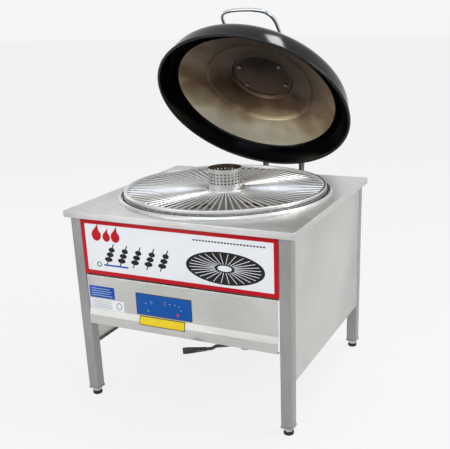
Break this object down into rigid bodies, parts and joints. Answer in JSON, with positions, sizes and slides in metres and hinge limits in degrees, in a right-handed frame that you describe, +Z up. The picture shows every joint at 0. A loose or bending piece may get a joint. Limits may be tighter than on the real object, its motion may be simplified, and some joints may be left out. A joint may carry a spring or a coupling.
{
  "type": "electric tandoor",
  "caption": "Floor-standing steel electric tandoor with a black dome lid, radial-wire grate round a perforated flue tube, sign panel, keypad and drain valve.",
  "frame": {"origin": "on the floor, under the middle of the top plate", "axes": "+X to the right along the front, +Y to the back, +Z up; the sign and keypad face -Y"},
  "size_m": [0.8, 0.9964, 1.2781],
  "materials": {
    "steel_frame": "satin",
    "steel_panel": "brushed",
    "steel_pan": "satin",
    "sign": "gloss white field with a red border",
    "foot_black": "matte",
    "keypad_black": "matte",
    "keypad_blue": "gloss membrane",
    "circuit_board": "matte",
    "electric_plastic": "matte",
    "terminal_plastic": "matte",
    "gland_plastic": "matte",
    "wool": "matt fibre board",
    "heater": "oxidised",
    "heater_bar": "satin",
    "probe": "bright",
    "grate": "satin, heat tinted",
    "flue": "satin, heat tinted",
    "pipe": "satin",
    "valve_brass": "nickel-plated",
    "lever_steel": "bright",
    "grip": "dipped vinyl",
    "enamel": "gloss black enamel",
    "reflector": "heat tinted, glossy",
    "fastener": "bright",
    "handle": "polished",
    "hinge_paint": "gloss black",
    "shaft": "bright",
    "spring": "oiled"
  },
  "bodies": {
    "cabinet": {"leg_front_right": "steel_frame", "leg_front_left": "steel_frame", "leg_rear_right": "steel_frame", "leg_rear_left": "steel_frame", "leg_caps": "steel_frame", "front_rails": "steel_frame", "rear_rails": "steel_frame", "side_rail_right": "steel_frame", "side_rail_left": "steel_frame", "top_plate": "steel_panel", "side_panel_right": "steel_panel", "side_panel_left": "steel_panel", "back_panel": "steel_panel", "sign_panel": "sign", "control_fascia": "steel_panel", "insulation_boards": "wool", "keypad_frame": "keypad_black", "keypad_overlay": "keypad_blue", "keypad_board": "circuit_board", "control_box": "steel_frame", "contactor": "electric_plastic", "terminal_block": "terminal_plastic", "cable_gland": "gland_plastic", "pan_collar": "steel_panel", "firepot": "steel_pan", "heater_outer": "heater", "heater_inner": "heater", "heater_bars": "heater_bar", "temperature_probe": "probe", "sump": "steel_pan", "drain_pipe": "pipe", "valve_body": "valve_brass", "drain_elbow": "pipe", "hinge_brackets": "hinge_paint", "hinge_shaft": "shaft", "balance_springs": "spring", "bracket_bolts": "fastener", "panel_screws": "fastener"},
    "lid": {"lid_shell": "enamel", "reflector": "reflector", "reflector_spacers": "fastener", "reflector_bolts": "fastener", "handle_straps": "fastener", "lid_handle": "handle", "hinge_beam": "hinge_paint", "lid_saddle": "hinge_paint", "hinge_arm_right": "hinge_paint", "hinge_arm_left": "hinge_paint", "saddle_bolts": "fastener"},
    "valve": {"valve_plug": "valve_brass", "valve_lever": "lever_steel", "lever_grip": "grip", "lever_nut": "fastener"},
    "grate": {"grate": "grate"},
    "flue": {"flue_tube": "flue"},
    "foot_front_right": {"foot_front_right": "foot_black"},
    "foot_front_left": {"foot_front_left": "foot_black"},
    "foot_rear_right": {"foot_rear_right": "foot_black"},
    "foot_rear_left": {"foot_rear_left": "foot_black"}
  },
  "joints": [
    {"name": "lid_hinge", "type": "hinge", "parent": "cabinet", "child": "lid", "pos_m": [0, 0.4225, 0.5215], "axis": [-1, 0, 0], "range_deg": [-45.7, 0], "stiffness_Nm_per_rad": 43, "springref_deg": 16.56},
    {"name": "valve_turn", "type": "hinge", "parent": "cabinet", "child": "valve", "pos_m": [0.1961, -0.3029, 0.266], "axis": [0, 0, 1], "range_deg": [-90, 0]},
    {"name": "grate_lift", "type": "slide", "parent": "cabinet", "child": "grate", "axis": [0, 0, 1], "range_m": [0, 0.1]},
    {"name": "flue_lift", "type": "slide", "parent": "cabinet", "child": "flue", "axis": [0, 0, 1], "range_m": [0, 0.1]},
    {"name": "foot_front_right_screw", "type": "slide", "parent": "cabinet", "child": "foot_front_right", "axis": [0, 0, -1], "range_m": [0, 0.012]},
    {"name": "foot_front_left_screw", "type": "slide", "parent": "cabinet", "child": "foot_front_left", "axis": [0, 0, -1], "range_m": [0, 0.012]},
    {"name": "foot_rear_right_screw", "type": "slide", "parent": "cabinet", "child": "foot_rear_right", "axis": [0, 0, -1], "range_m": [0, 0.012]},
    {"name": "foot_rear_left_screw", "type": "slide", "parent": "cabinet", "child": "foot_rear_left", "axis": [0, 0, -1], "range_m": [0, 0.012]}
  ]
}
